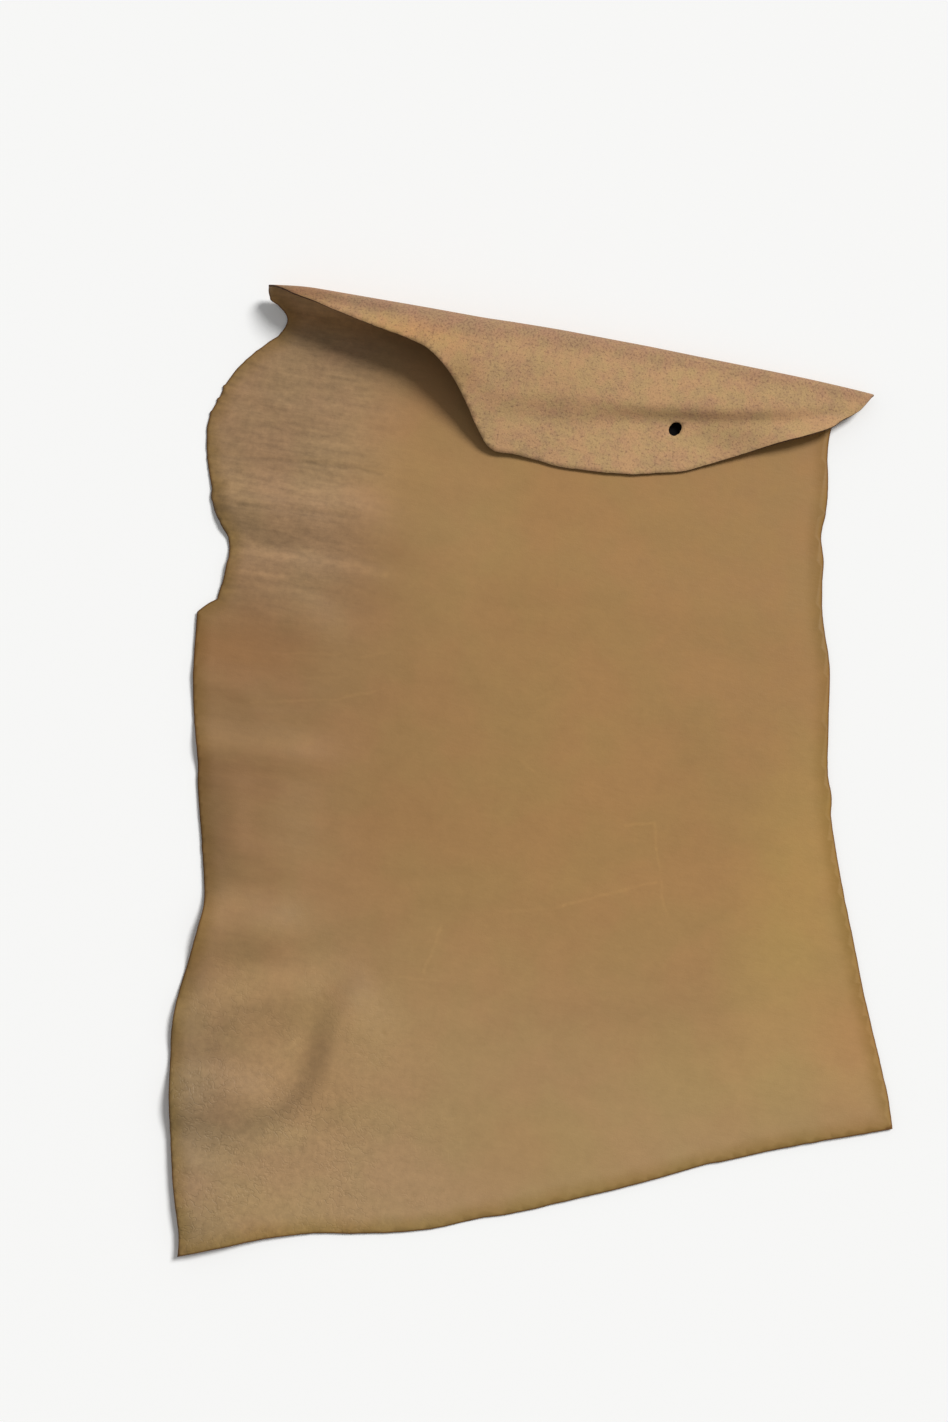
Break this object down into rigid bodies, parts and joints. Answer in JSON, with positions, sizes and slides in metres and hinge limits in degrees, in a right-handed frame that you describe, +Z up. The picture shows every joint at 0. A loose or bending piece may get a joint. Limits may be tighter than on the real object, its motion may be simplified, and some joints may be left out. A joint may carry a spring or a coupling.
{
  "type": "leather hide",
  "caption": "Leather hide lying grain side up, its top edge folded over so that the flap shows the flesh side, with a hole through the flap.",
  "frame": {"origin": "middle of the hide's box, on the surface that it lies on", "axes": "+X along the fold, +Y from the lower edge up to the fold, +Z up out of the grain side"},
  "size_m": [0.727, 0.89, 0.0418],
  "materials": {
    "leather": "semi-matt taupe-brown grain side, nappy pinkish-tan flesh side"
  },
  "bodies": {
    "root": {"leather_hide": "leather"}
  },
  "joints": []
}
